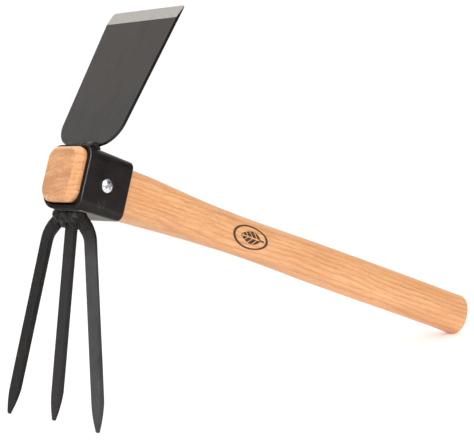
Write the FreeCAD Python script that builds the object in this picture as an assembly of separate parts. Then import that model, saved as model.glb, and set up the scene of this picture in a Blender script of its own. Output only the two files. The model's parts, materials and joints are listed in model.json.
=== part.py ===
import FreeCAD, Part
import math
import os

# A short-handled grub hoe: a welded steel head with a hoe blade above the eye and three tines
# below it, on an ash handle.  All lengths are millimetres.
#
# Every piece is first drawn in the head's own frame: the origin is the centre of the eye, X runs
# along the handle towards the butt, Z points to the blade and -Y is the side with the screw.  At
# the end the whole tool is tipped forward until it stands on its outer tines and its butt, and
# moved so that the origin lies on the ground under the middle of the tool.

Vector = FreeCAD.Vector

# Handle
HANDLE_LENGTH = 397.7
WOOD_STANDOUT = 5.8
# The worn head end: how deep its chamfer is along the handle and how wide at each edge.
CHAMFER_DEPTH = 3.4
SIDE_CHAMFER = 4.0
TOP_CHAMFER = 2.6
BOTTOM_CHAMFER = 1.2
CHAMFER_CORNER_LOSS = 2.0
BUTT_ROUNDING = 2.8
# Where the squared head end turns into the oval grip, inside the eye's rear rim.
SQUARE_BEFORE_RIM = 3.0
RIM_SQUARENESS = 5.5
# Sections behind the eye: distance, half width, top, bottom and squareness; 2 is an ellipse.
HANDLE_SECTIONS = (
    (44.0, 15.2, 14.1, -15.0, 4.0),
    (75.0, 13.6, 13.3, -13.9, 3.0),
    (105.0, 12.4, 12.7, -13.1, 2.5),
    (140.0, 11.8, 12.8, -12.8, 2.3),
    (185.0, 11.7, 13.6, -13.6, 2.3),
    (240.0, 11.8, 14.3, -14.4, 2.3),
    (300.0, 12.0, 14.7, -14.7, 2.3),
    (345.0, 12.1, 14.8, -15.0, 2.3),
)
BUTT_SECTION = (12.2, 15.1, -15.9, 2.3)

# Eye collar
EYE_LENGTH = 32.8
EYE_HALF_WIDTH = 18.9
EYE_FRONT_TOP = 18.0
EYE_FRONT_BOTTOM = -20.4
EYE_REAR_TOP = 16.8
EYE_REAR_BOTTOM = -19.4
# Corner radii.  The sleeve was pressed to shape, so its +Y bottom corner is rounder than its -Y one.
EYE_FRONT_TOP_CORNER = 8.0
EYE_REAR_TOP_CORNER = 5.0
EYE_FRONT_BOTTOM_CORNERS = {1: 13.5, -1: 6.5}
EYE_REAR_BOTTOM_CORNERS = {1: 8.0, -1: 5.0}
WOOD_TOP_CORNER = 7.0
WOOD_BOTTOM_CORNERS = {1: 9.5, -1: 7.0}
EYE_WALL = 2.4
EYE_CROWN_WALL = 1.6
EYE_RIM_ROUNDING = 0.6
SIDE_PLAY = 0.4
TOP_PLAY_FRONT = 0.3
TOP_PLAY_REAR = 1.6
BOTTOM_PLAY_FRONT = 1.2
BOTTOM_PLAY_REAR = 1.2

# Hoe blade
BLADE_TILT = 14.5
BLADE_FACE_X = -14.6
BLADE_THICKNESS = 2.0
BLADE_ROOT = 20.4
BLADE_LENGTH = 97.2
BLADE_ROOT_HALF_WIDTH = 27.2
BLADE_TIP_HALF_WIDTH = 32.7
BLADE_SHOULDER_RADIUS = 16.0
BLADE_NECK_DEPTH = 6.0
BEVEL_LENGTH = 9.7
EDGE_LAND = 0.25
EDGE_CORNER = 2.0

# Fork
TINE_WIDTH = 9.2
TINE_THICKNESS = 3.0
TINE_EDGE_ROUNDING = 0.9
FORK_SLOPE = 9.8
FORK_ROOT_X = -7.0
FORK_ROOT_Z = -20.5
FORK_DEPTH = 121.4
CENTER_SET_BACK = 1.4
CENTER_SHORTER = 1.4
ROOT_SPREAD = 6.2
SHOULDER_ANGLE = 48.0
TINE_SPLAY = 11.6
TINE_SPREAD_AT_TIP = 42.1
SHOULDER_RADIUS = 14.0
TAPER_LENGTH = 62.0
TAPER = 0.65
POINT_LENGTH = 17.0
POINT_RADIUS = 1.3
POINT_THICKNESS = 1.2
POINT_BEVEL_LENGTH = 15.0
POINT_BEVEL_ANGLE = 52.0
BAR_OVERRUN = 12.0

# Weld beads
BLADE_BEAD_RADIUS = 2.8
BLADE_BEAD_RISE = -0.9
FORK_BEAD_RADIUS = 3.3
FORK_BEAD_DROP = 0.6
FORK_BEAD_REACH = 9.4
WEB_RADIUS = 3.2
WEB_THICKNESS = 3.0
WEB_TOE = 1.0
WEB_RISE = 2.6

# Retaining screw
SCREW_X = -0.7
SCREW_Z = -2.4
SCREW_HEAD_RADIUS = 4.0
SCREW_HEAD_HEIGHT = 2.7
SCREW_HEAD_SIDE = 1.1
SCREW_RADIUS = 2.1
SCREW_LENGTH = 25.0
SCREW_POINT = 5.0
RECESS_SPAN = 4.8
RECESS_WIDTH = 1.1
RECESS_DEPTH = 1.7

SECTION_POINTS = 64
STAND_STEPS = 40
TESSELLATION = 0.2

EYE_FRONT = -EYE_LENGTH / 2
EYE_REAR = EYE_LENGTH / 2
WOOD_FRONT = EYE_FRONT - WOOD_STANDOUT
BUTT_END = WOOD_FRONT + HANDLE_LENGTH


def grip_section(x, half_width, top, bottom, squareness):
    """Closed smooth oval across the handle at x."""
    centre = (top + bottom) / 2
    half_height = (top - bottom) / 2
    points = []
    for step in range(SECTION_POINTS):
        angle = 2 * math.pi * step / SECTION_POINTS
        across = abs(math.cos(angle) / half_width) ** squareness
        up = abs(math.sin(angle) / half_height) ** squareness
        reach = (across + up) ** (-1 / squareness)
        points.append(Vector(x, reach * math.cos(angle), centre + reach * math.sin(angle)))
    curve = Part.BSplineCurve()
    curve.interpolate(Points=points, PeriodicFlag=True)
    return Part.Wire([curve.toShape()])


def tapered(front, rear, x):
    """Value at x of a size that changes evenly from the eye's front rim to its rear rim."""
    return front + (x - EYE_FRONT) / EYE_LENGTH * (rear - front)


def eye_section(x, inset, inset_top, inset_bottom, top_corner, bottom_corners):
    """Rounded rectangle across the eye at x, inside its outer surface by the insets.

    The bottom corners are given by side, 1 for +Y and -1 for -Y.
    """
    half_width = EYE_HALF_WIDTH - inset
    top = tapered(EYE_FRONT_TOP, EYE_REAR_TOP, x) - inset_top
    bottom = tapered(EYE_FRONT_BOTTOM, EYE_REAR_BOTTOM, x) + inset_bottom
    corners = ((1, top, top_corner), (-1, top, top_corner),
               (-1, bottom, bottom_corners[-1]), (1, bottom, bottom_corners[1]))
    ends = []
    edges = []
    for side, height, radius in corners:
        above = 1 if height > 0 else -1
        centre = Vector(x, side * (half_width - radius), height - above * radius)
        flank = centre + Vector(0, side * radius, 0)
        crown = centre + Vector(0, 0, above * radius)
        middle = centre + Vector(0, side, above) * (radius * math.sqrt(0.5))
        arc = (flank, middle, crown) if side == above else (crown, middle, flank)
        edges.append(Part.Arc(*arc).toShape())
        ends.append((arc[0], arc[2]))
    for index, (_, end) in enumerate(ends):
        start = ends[(index + 1) % len(ends)][0]
        edges.append(Part.LineSegment(end, start).toShape())
    return Part.Wire(Part.__sortEdges__(edges))


def skin(wires, ruled):
    """Solid through a row of closed outlines."""
    return Part.makeLoft(wires, True, ruled)


def end_edges(shape, x):
    """Edges that lie flat in the plane across the handle at x."""
    tolerance = 0.01
    return [edge for edge in shape.Edges
            if abs(edge.BoundBox.XMin - x) < tolerance and abs(edge.BoundBox.XMax - x) < tolerance]


def bead(points, radius):
    """Straight round bead with domed ends."""
    start, end = points
    rod = Part.makeCylinder(radius, start.distanceToPoint(end), start, end - start)
    return rod.fuse([Part.makeSphere(radius, start), Part.makeSphere(radius, end)]).removeSplitter()


# Eye collar -------------------------------------------------------------------------------

def sleeve_section(x, wall, crown_wall):
    """Outline across the sleeve at x: its outside, or its inside when the walls are given."""
    top_corner = tapered(EYE_FRONT_TOP_CORNER, EYE_REAR_TOP_CORNER, x) - wall
    bottom_corners = {}
    for side in (1, -1):
        rounding = tapered(EYE_FRONT_BOTTOM_CORNERS[side], EYE_REAR_BOTTOM_CORNERS[side], x)
        bottom_corners[side] = rounding - wall
    return eye_section(x, wall, crown_wall, wall, top_corner, bottom_corners)


def eye_outer():
    return skin([sleeve_section(x, 0, 0) for x in (EYE_FRONT, EYE_REAR)], True)


def eye_opening():
    """Tapered inside of the sleeve, run out past both rims so that it cuts cleanly."""
    past = 5.0
    rims = (EYE_FRONT - past, EYE_REAR + past)
    return skin([sleeve_section(x, EYE_WALL, EYE_CROWN_WALL) for x in rims], True)


def screw_axis_cylinder(radius, start_y, length):
    return Part.makeCylinder(radius, length, Vector(SCREW_X, start_y, SCREW_Z), Vector(0, 1, 0))


def make_eye_collar(outer):
    rims = end_edges(outer, EYE_FRONT) + end_edges(outer, EYE_REAR)
    rounded = outer.makeFillet(EYE_RIM_ROUNDING, rims)
    sleeve = rounded.cut(eye_opening())
    return sleeve.cut(screw_axis_cylinder(SCREW_RADIUS, -EYE_HALF_WIDTH - 1, EYE_WALL + 2))


# Handle -----------------------------------------------------------------------------------

def make_handle():
    square_end = EYE_REAR - SQUARE_BEFORE_RIM
    inset = EYE_WALL + SIDE_PLAY
    front_top = EYE_CROWN_WALL + TOP_PLAY_FRONT
    front_bottom = EYE_WALL + BOTTOM_PLAY_FRONT
    face_corners = {side: radius - CHAMFER_CORNER_LOSS
                    for side, radius in WOOD_BOTTOM_CORNERS.items()}
    face = eye_section(WOOD_FRONT, inset + SIDE_CHAMFER, front_top + TOP_CHAMFER,
                       front_bottom + BOTTOM_CHAMFER, WOOD_TOP_CORNER - CHAMFER_CORNER_LOSS,
                       face_corners)
    front = eye_section(WOOD_FRONT + CHAMFER_DEPTH, inset, front_top, front_bottom,
                        WOOD_TOP_CORNER, WOOD_BOTTOM_CORNERS)
    back = eye_section(square_end, inset, EYE_CROWN_WALL + TOP_PLAY_REAR,
                       EYE_WALL + BOTTOM_PLAY_REAR, WOOD_TOP_CORNER, WOOD_BOTTOM_CORNERS)
    head_end = skin([face, front, back], True)
    box = back.BoundBox
    rear = grip_section(square_end, box.YMax, box.ZMax, box.ZMin, RIM_SQUARENESS)
    wires = [rear]
    for x, width, top, bottom, squareness in HANDLE_SECTIONS:
        wires.append(grip_section(x, width, top, bottom, squareness))
    wires.append(grip_section(BUTT_END, *BUTT_SECTION))
    grip = skin(wires, False)
    grip = grip.makeFillet(BUTT_ROUNDING, end_edges(grip, BUTT_END))
    wood = head_end.fuse(grip).removeSplitter()
    bore = screw_axis_cylinder(SCREW_RADIUS, -EYE_HALF_WIDTH, SCREW_LENGTH - SCREW_POINT)
    point = Part.makeCone(SCREW_RADIUS, 0, SCREW_POINT,
                          Vector(SCREW_X, -EYE_HALF_WIDTH + SCREW_LENGTH - SCREW_POINT, SCREW_Z),
                          Vector(0, 1, 0))
    return wood.cut(bore.fuse(point))


# Hoe blade --------------------------------------------------------------------------------

def blade_to_head(shape):
    """Turn a shape drawn with the blade's face in YZ and its back at +X into the head's frame."""
    placed = shape.copy()
    placed.rotate(Vector(0, 0, 0), Vector(0, 1, 0), BLADE_TILT)
    placed.translate(Vector(BLADE_FACE_X, 0, 0))
    return placed


def blade_half_width(height):
    share = (height - BLADE_ROOT) / BLADE_LENGTH
    return BLADE_ROOT_HALF_WIDTH + share * (BLADE_TIP_HALF_WIDTH - BLADE_ROOT_HALF_WIDTH)


def mirrored_outline(right_side):
    """Closed wire from the points of one side, given as (y, z) lines and three-point arcs."""
    edges = []
    for side in (1, -1):
        for piece in right_side:
            points = [Vector(0, side * y, z) for y, z in piece]
            if len(points) == 3:
                edges.append(Part.Arc(*points).toShape())
            else:
                edges.append(Part.LineSegment(*points).toShape())
    first = right_side[0][0]
    last = right_side[-1][-1]
    for y, z in (first, last):
        edges.append(Part.LineSegment(Vector(0, -y, z), Vector(0, y, z)).toShape())
    return Part.Wire(Part.__sortEdges__(edges))


def make_blade(outer_eye):
    radius = BLADE_SHOULDER_RADIUS
    shoulder_z = BLADE_ROOT + radius
    side_y = blade_half_width(shoulder_z)
    neck_y = side_y - radius
    bend = radius * math.sqrt(0.5)
    edge_z = BLADE_ROOT + BLADE_LENGTH
    corner_z = edge_z - EDGE_CORNER
    corner_y = blade_half_width(corner_z)
    corner_bend = EDGE_CORNER * (1 - math.sqrt(0.5))
    neck_bottom = (neck_y, BLADE_ROOT - BLADE_NECK_DEPTH)
    neck_top = (neck_y, BLADE_ROOT)
    shoulder = (neck_y + bend, shoulder_z - bend)
    side_start = (side_y, shoulder_z)
    side_end = (corner_y, corner_z)
    corner = (corner_y - corner_bend, edge_z - corner_bend)
    edge_end = (corner_y - EDGE_CORNER, edge_z)
    outline = mirrored_outline((
        (neck_bottom, neck_top),
        (neck_top, shoulder, side_start),
        (side_start, side_end),
        (side_end, corner, edge_end),
    ))
    plate = Part.Face(outline).extrude(Vector(BLADE_THICKNESS, 0, 0))
    bevel_start = edge_z - BEVEL_LENGTH
    reach = BLADE_THICKNESS - EDGE_LAND
    wedge = Part.Face(Part.makePolygon([
        Vector(0, 0, bevel_start),
        Vector(reach, 0, edge_z),
        Vector(reach, 0, edge_z + EDGE_CORNER),
        Vector(-EDGE_CORNER, 0, edge_z + EDGE_CORNER),
        Vector(-EDGE_CORNER, 0, bevel_start),
        Vector(0, 0, bevel_start),
    ]))
    wedge.translate(Vector(0, -2 * BLADE_TIP_HALF_WIDTH, 0))
    plate = plate.cut(wedge.extrude(Vector(0, 4 * BLADE_TIP_HALF_WIDTH, 0)))
    return blade_to_head(plate).cut(outer_eye)


# Fork -------------------------------------------------------------------------------------

def fork_to_head(shape, set_back=0.0):
    """Turn a shape drawn with the bars hanging along -Z, centred on X, into the head's frame."""
    placed = shape.copy()
    placed.rotate(Vector(0, 0, 0), Vector(0, 1, 0), -FORK_SLOPE)
    placed.translate(Vector(FORK_ROOT_X + set_back, 0, FORK_ROOT_Z))
    return placed


def down(angle):
    """Direction in the fork's plane, at an angle from straight down towards +Y."""
    return Vector(0, math.sin(math.radians(angle)), -math.cos(math.radians(angle)))


def outward(angle):
    """Direction across a bar that runs at this angle, on its +Y side."""
    return Vector(0, math.cos(math.radians(angle)), math.sin(math.radians(angle)))


def rounded_bar(edges):
    """Flat bar of the tines' thickness from its outline, with its long corners rounded."""
    face = Part.Face(Part.Wire(Part.__sortEdges__(edges)))
    face.translate(Vector(-TINE_THICKNESS / 2, 0, 0))
    bar = face.extrude(Vector(TINE_THICKNESS, 0, 0))
    flat = [edge for edge in bar.Edges if edge.BoundBox.XLength < TINE_THICKNESS / 2]
    return bar.makeFillet(TINE_EDGE_ROUNDING, flat)


def point_envelope(tip, angle):
    """Everything that a bar keeps: a slow taper, two curved flanks and a small round end."""
    along = down(angle)
    across = outward(angle)
    full = TINE_WIDTH / 2
    narrow = full - TAPER
    rise = POINT_LENGTH - POINT_RADIUS
    inset = narrow - POINT_RADIUS
    flank_radius = (rise ** 2 + inset ** 2) / (2 * inset)
    half_turn = math.asin(rise / flank_radius) / 2
    middle_drop = flank_radius * math.sin(half_turn)
    middle_inset = flank_radius * (1 - math.cos(half_turn))
    far = tip - along * (FORK_DEPTH + 2 * BAR_OVERRUN)
    edges = []
    flank_end = {}
    for side in (1, -1):
        wide = far + across * (side * 2 * full)
        taper_top = tip - along * TAPER_LENGTH + across * (side * 2 * full)
        taper_start = tip - along * TAPER_LENGTH + across * (side * full)
        flank_start = tip - along * POINT_LENGTH + across * (side * narrow)
        middle = flank_start + along * middle_drop - across * (side * middle_inset)
        flank_end[side] = tip - along * POINT_RADIUS + across * (side * POINT_RADIUS)
        edges.append(Part.LineSegment(wide, taper_top).toShape())
        edges.append(Part.LineSegment(taper_top, taper_start).toShape())
        edges.append(Part.LineSegment(taper_start, flank_start).toShape())
        edges.append(Part.Arc(flank_start, middle, flank_end[side]).toShape())
    edges.append(Part.Arc(flank_end[1], tip, flank_end[-1]).toShape())
    edges.append(Part.LineSegment(far + across * (2 * full), far - across * (2 * full)).toShape())
    face = Part.Face(Part.Wire(Part.__sortEdges__(edges)))
    face.translate(Vector(-TINE_THICKNESS, 0, 0))
    return face.extrude(Vector(2 * TINE_THICKNESS, 0, 0))


def bevel_cutters(tip, angle):
    """Wedges that bevel the front of a point on both sides and thin its back."""
    size = 3 * POINT_BEVEL_LENGTH
    back = Part.makeBox(size, size, size, Vector(0, -size / 2, -size / 2))
    thinning = TINE_THICKNESS - POINT_THICKNESS
    back.rotate(Vector(0, 0, 0), Vector(0, 1, 0), math.degrees(math.atan2(thinning, POINT_LENGTH)))
    back.rotate(Vector(0, 0, 0), Vector(1, 0, 0), angle)
    back.translate(tip + Vector(POINT_THICKNESS - TINE_THICKNESS / 2, 0, 0))
    cutters = [back]
    for side in (1, -1):
        box = Part.makeBox(size, size, size, Vector(-size, 0, -size / 2))
        box.rotate(Vector(0, 0, 0), Vector(0, 0, 1), POINT_BEVEL_ANGLE)
        if side < 0:
            box = box.mirror(Vector(0, 0, 0), Vector(0, 1, 0))
        lean = math.degrees(math.atan2(TINE_WIDTH / 2, POINT_BEVEL_LENGTH))
        box.rotate(Vector(0, 0, 0), Vector(1, 0, 0), -side * lean)
        box.rotate(Vector(0, 0, 0), Vector(1, 0, 0), angle)
        box.translate(tip + Vector(-TINE_THICKNESS / 2, 0, 0))
        cutters.append(box)
    return cutters


def make_center_tine(outer_eye):
    half = TINE_WIDTH / 2
    tip = Vector(0, 0, -(FORK_DEPTH - CENTER_SHORTER))
    corners = [Vector(0, side * half, height) for side, height in
               ((1, BAR_OVERRUN), (-1, BAR_OVERRUN), (-1, tip.z), (1, tip.z), (1, BAR_OVERRUN))]
    bar = rounded_bar(Part.makePolygon(corners).Edges)
    bar = bar.common(point_envelope(tip, 0)).cut(bevel_cutters(tip, 0))
    return fork_to_head(bar, CENTER_SET_BACK).cut(outer_eye)


def shoulder_corner():
    """Where the sloping root and the straight run of the +Y outer bar would meet."""
    splay = math.radians(TINE_SPLAY)
    slope = math.radians(SHOULDER_ANGLE)
    spread_at_root = TINE_SPREAD_AT_TIP - FORK_DEPTH * math.tan(splay)
    depth = (spread_at_root - ROOT_SPREAD) / (math.tan(slope) - math.tan(splay))
    return Vector(0, ROOT_SPREAD + depth * math.tan(slope), -depth)


def make_outer_bar():
    """The +Y outer bar, from above the eye's underside to its point, in the fork's frame."""
    half = TINE_WIDTH / 2
    corner = shoulder_corner()
    turn = math.radians(SHOULDER_ANGLE - TINE_SPLAY)
    setback = SHOULDER_RADIUS * math.tan(turn / 2)
    bend_start = corner - down(SHOULDER_ANGLE) * setback
    bend_end = corner + down(TINE_SPLAY) * setback
    centre = bend_start - outward(SHOULDER_ANGLE) * SHOULDER_RADIUS
    middle = (SHOULDER_ANGLE + TINE_SPLAY) / 2
    top = Vector(0, ROOT_SPREAD, 0) - down(SHOULDER_ANGLE) * BAR_OVERRUN
    tip = Vector(0, TINE_SPREAD_AT_TIP, -FORK_DEPTH)
    edges = []
    for side in (1, -1):
        root_across = outward(SHOULDER_ANGLE) * (side * half)
        run_across = outward(TINE_SPLAY) * (side * half)
        bend_middle = centre + outward(middle) * (SHOULDER_RADIUS + side * half)
        edges.append(Part.LineSegment(top + root_across, bend_start + root_across).toShape())
        edges.append(Part.Arc(bend_start + root_across, bend_middle, bend_end + run_across).toShape())
        edges.append(Part.LineSegment(bend_end + run_across, tip + run_across).toShape())
    for end, angle in ((top, SHOULDER_ANGLE), (tip, TINE_SPLAY)):
        across = outward(angle) * half
        edges.append(Part.LineSegment(end + across, end - across).toShape())
    bar = rounded_bar(edges)
    return bar.common(point_envelope(tip, TINE_SPLAY)).cut(bevel_cutters(tip, TINE_SPLAY))


def make_outer_tines(outer_eye):
    """Left (+Y) and right (-Y) tines, butted against the edges of the centre bar."""
    half = TINE_WIDTH / 2
    reach = 4 * BAR_OVERRUN
    keep_out = Part.makeBox(reach, TINE_WIDTH, 2 * reach, Vector(-reach / 2, -half, -reach))
    bar = make_outer_bar().cut(keep_out)
    beyond = Part.makeBox(reach, reach, 2 * reach, Vector(-reach / 2, -reach, -reach))
    left = bar.cut(beyond)
    right = left.mirror(Vector(0, 0, 0), Vector(0, 1, 0))
    return [fork_to_head(tine).cut(outer_eye) for tine in (left, right)]


# Weld beads -------------------------------------------------------------------------------

def front_or_back(side):
    """Everything on one side of the YZ plane, large enough to trim a bead."""
    size = 4 * BLADE_TIP_HALF_WIDTH
    corner = Vector(0, -size / 2, -size / 2)
    if side < 0:
        corner.x = -size
    return Part.makeBox(size, size, size, corner)


def make_blade_welds(outer_eye, blade):
    """Beads along the front and the back of the blade's root."""
    neck = blade_half_width(BLADE_ROOT + BLADE_SHOULDER_RADIUS) - BLADE_SHOULDER_RADIUS
    reach = neck - BLADE_BEAD_RADIUS
    height = BLADE_ROOT + BLADE_BEAD_RISE
    welds = []
    for side, x in ((-1, 0), (1, BLADE_THICKNESS)):
        ends = [Vector(x, end * reach, height) for end in (-1, 1)]
        rod = bead(ends, BLADE_BEAD_RADIUS).common(front_or_back(side))
        welds.append(blade_to_head(rod).cut([outer_eye, blade]))
    return welds


def make_fork_welds(outer_eye, tines):
    """Fat beads across the front and the back of the three bars, under the collar."""
    welds = []
    for side in (-1, 1):
        x = side * TINE_THICKNESS / 2
        ends = [Vector(x, end * FORK_BEAD_REACH, -FORK_BEAD_DROP) for end in (-1, 1)]
        rod = bead(ends, FORK_BEAD_RADIUS).common(front_or_back(side))
        welds.append(fork_to_head(rod).cut([outer_eye] + tines))
    return welds


def make_web_welds(tines):
    """Filler in the crotch between the centre bar and each outer bar, with a round lower edge."""
    half = TINE_WIDTH / 2
    slope = down(SHOULDER_ANGLE)
    inner_edge = Vector(0, ROOT_SPREAD, 0) - outward(SHOULDER_ANGLE) * half
    crotch = inner_edge + slope * ((half - inner_edge.y) / slope.y)
    half_angle = math.radians(SHOULDER_ANGLE / 2)
    tangent = WEB_RADIUS / math.tan(half_angle)
    centre = crotch + Vector(0, WEB_RADIUS, -tangent)
    low_center = crotch + Vector(0, 0, -tangent)
    low_outer = crotch + slope * tangent
    to_crotch = (crotch - centre).normalize()
    top = centre + to_crotch * WEB_RADIUS
    toe_center = Vector(0, -WEB_TOE, 0)
    toe_outer = outward(SHOULDER_ANGLE) * WEB_TOE
    rise = Vector(0, 0, WEB_RISE)
    outline = Part.Wire([
        Part.Arc(low_center, top, low_outer).toShape(),
        Part.LineSegment(low_outer, low_outer + toe_outer).toShape(),
        Part.LineSegment(low_outer + toe_outer, crotch + toe_outer + rise).toShape(),
        Part.LineSegment(crotch + toe_outer + rise, crotch + toe_center + rise).toShape(),
        Part.LineSegment(crotch + toe_center + rise, low_center + toe_center).toShape(),
        Part.LineSegment(low_center + toe_center, low_center).toShape(),
    ])
    face = Part.Face(outline)
    face.translate(Vector((CENTER_SET_BACK - WEB_THICKNESS) / 2, 0, 0))
    left = face.extrude(Vector(WEB_THICKNESS, 0, 0))
    right = left.mirror(Vector(0, 0, 0), Vector(0, 1, 0))
    return [fork_to_head(web).cut(tines) for web in (left, right)]


# Retaining screw --------------------------------------------------------------------------

def make_screw():
    """Pan head with a cross recess, plain shank and a point; drawn along +Y from the collar."""
    seat = -EYE_HALF_WIDTH
    dome = SCREW_HEAD_HEIGHT - SCREW_HEAD_SIDE
    sagitta_radius = (SCREW_HEAD_RADIUS ** 2 + dome ** 2) / (2 * dome)
    head = Part.makeCylinder(SCREW_HEAD_RADIUS, SCREW_HEAD_HEIGHT,
                             Vector(SCREW_X, seat - SCREW_HEAD_HEIGHT, SCREW_Z), Vector(0, 1, 0))
    ball = Part.makeSphere(sagitta_radius,
                           Vector(SCREW_X, seat - SCREW_HEAD_HEIGHT + sagitta_radius, SCREW_Z))
    head = head.common(ball)
    shank = screw_axis_cylinder(SCREW_RADIUS, seat, SCREW_LENGTH - SCREW_POINT)
    point = Part.makeCone(SCREW_RADIUS, 0, SCREW_POINT,
                          Vector(SCREW_X, seat + SCREW_LENGTH - SCREW_POINT, SCREW_Z), Vector(0, 1, 0))
    screw = head.fuse([shank, point])
    for turn in (45, 135):
        slot = Part.makeBox(RECESS_SPAN, RECESS_DEPTH + 1, RECESS_WIDTH,
                            Vector(-RECESS_SPAN / 2, -1, -RECESS_WIDTH / 2))
        slot.rotate(Vector(0, 0, 0), Vector(0, 1, 0), turn)
        slot.translate(Vector(SCREW_X, seat - SCREW_HEAD_HEIGHT, SCREW_Z))
        screw = screw.cut(slot)
    return screw


# Standing the tool up ---------------------------------------------------------------------

def lowest(points, angle):
    """Lowest height of a cloud of points once tipped forward about Y by this angle."""
    sine = math.sin(math.radians(angle))
    cosine = math.cos(math.radians(angle))
    return min(point.z * cosine - point.x * sine for point in points)


def standing_angle(tine, handle):
    """Angle at which the tine's point and the butt are level."""
    tine_points = tine.tessellate(TESSELLATION)[0]
    handle_points = handle.tessellate(TESSELLATION)[0]
    low, high = 0.0, 45.0
    for _ in range(STAND_STEPS):
        middle = (low + high) / 2
        if lowest(tine_points, middle) < lowest(handle_points, middle):
            low = middle
        else:
            high = middle
    return (low + high) / 2


def stand(parts, angle):
    """Tip every part and put the origin on the ground under the middle of the tool."""
    for part in parts.values():
        part.rotate(Vector(0, 0, 0), Vector(0, 1, 0), angle)
    corners = []
    for part in parts.values():
        corners.extend(part.tessellate(TESSELLATION)[0])
    middle_x = (min(p.x for p in corners) + max(p.x for p in corners)) / 2
    middle_y = (min(p.y for p in corners) + max(p.y for p in corners)) / 2
    ground = min(p.z for p in corners)
    for part in parts.values():
        part.translate(Vector(-middle_x, -middle_y, -ground))
    return middle_x, middle_y, ground


def main():
    outer_eye = eye_outer()
    parts = {}
    parts["eye_collar"] = make_eye_collar(outer_eye)
    parts["handle"] = make_handle()
    parts["hoe_blade"] = make_blade(outer_eye)
    parts["center_tine"] = make_center_tine(outer_eye)
    parts["left_tine"], parts["right_tine"] = make_outer_tines(outer_eye)
    tines = [parts["center_tine"], parts["left_tine"], parts["right_tine"]]
    blade_welds = make_blade_welds(outer_eye, parts["hoe_blade"])
    parts["blade_weld_front"], parts["blade_weld_rear"] = blade_welds
    web_welds = make_web_welds(tines)
    parts["tine_web_weld_left"], parts["tine_web_weld_right"] = web_welds
    fork_welds = make_fork_welds(outer_eye, tines + web_welds)
    parts["fork_weld_front"], parts["fork_weld_rear"] = fork_welds
    parts["retaining_screw"] = make_screw()
    angle = standing_angle(parts["left_tine"], parts["handle"])
    shift = stand(parts, angle)
    print("standing angle %.4f, eye centre at %.3f %.3f %.3f"
          % ((angle,) + tuple(-value for value in shift)))
    os.makedirs("parts", exist_ok=True)
    for name, part in parts.items():
        facts = (name, part.isValid(), len(part.Solids), part.Volume)
        print("%-20s valid %s, solids %d, volume %.1f" % facts)
        part.exportStep("parts/%s.step" % name)


main()
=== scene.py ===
import json
import math
import random

import bmesh
import bpy
from mathutils import Matrix, Vector, noise


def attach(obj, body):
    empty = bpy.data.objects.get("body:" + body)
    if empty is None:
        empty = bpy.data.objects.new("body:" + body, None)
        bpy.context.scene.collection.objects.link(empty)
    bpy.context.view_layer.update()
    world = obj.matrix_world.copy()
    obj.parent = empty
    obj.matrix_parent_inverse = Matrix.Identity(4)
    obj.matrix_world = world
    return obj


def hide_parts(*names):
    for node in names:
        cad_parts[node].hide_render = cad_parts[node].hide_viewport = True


# A grub hoe standing on its outer tines and its butt, in a plain white studio.
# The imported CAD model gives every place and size.  Lengths are metres unless a name ends in _MM
# or a docstring says millimetres.

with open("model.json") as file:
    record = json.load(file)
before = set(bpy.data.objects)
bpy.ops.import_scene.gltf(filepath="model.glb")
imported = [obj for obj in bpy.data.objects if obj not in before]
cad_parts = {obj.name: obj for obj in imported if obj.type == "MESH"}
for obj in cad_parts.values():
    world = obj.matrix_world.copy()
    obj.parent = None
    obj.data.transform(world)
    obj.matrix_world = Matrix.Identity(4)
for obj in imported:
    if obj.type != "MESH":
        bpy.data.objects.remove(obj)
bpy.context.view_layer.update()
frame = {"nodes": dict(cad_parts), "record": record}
mounts = {mount["name"]: mount for mount in frame["record"]["mounts"]}

MM = 0.001
WHITE = (1.0, 1.0, 1.0)
HEAD_END = Vector(mounts["handle_head_end"]["pos_m"])
ALONG = -Vector(mounts["handle_head_end"]["axis"])
ACROSS = Vector((0.0, 1.0, 0.0))
UPWARD = ALONG.cross(ACROSS)
LEAN = math.atan2(-ALONG.z, ALONG.x)

# The head's own frame, as in the CAD: origin at the centre of the eye, millimetres.
HEAD_END_TO_EYE_MM = (22.2, 1.05)
EYE = HEAD_END + (ALONG * HEAD_END_TO_EYE_MM[0] + UPWARD * HEAD_END_TO_EYE_MM[1]) * MM
EYE_FRONT_MM = -16.4
# Drawing frames of the blade and the fork in the head's frame: x, z and turn about Y.
BLADE_PLACE = (-14.6, 0.0, math.radians(14.5))
FORK_PLACE = (-7.0, -20.5, math.radians(-9.8))
BLADE_ROOT_MM = 20.4
BLADE_THICKNESS_MM = 2.0
BEVEL_SLOPE = math.atan2(1.75, 9.7)


# Shader graph helpers ---------------------------------------------------------------------

NOISE_MIDDLE = (0.3, 0.7)
ROUNDING_SAMPLES = 4
EDGE_COSINES = (0.985, 0.80)
IOR = 1.45


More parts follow.
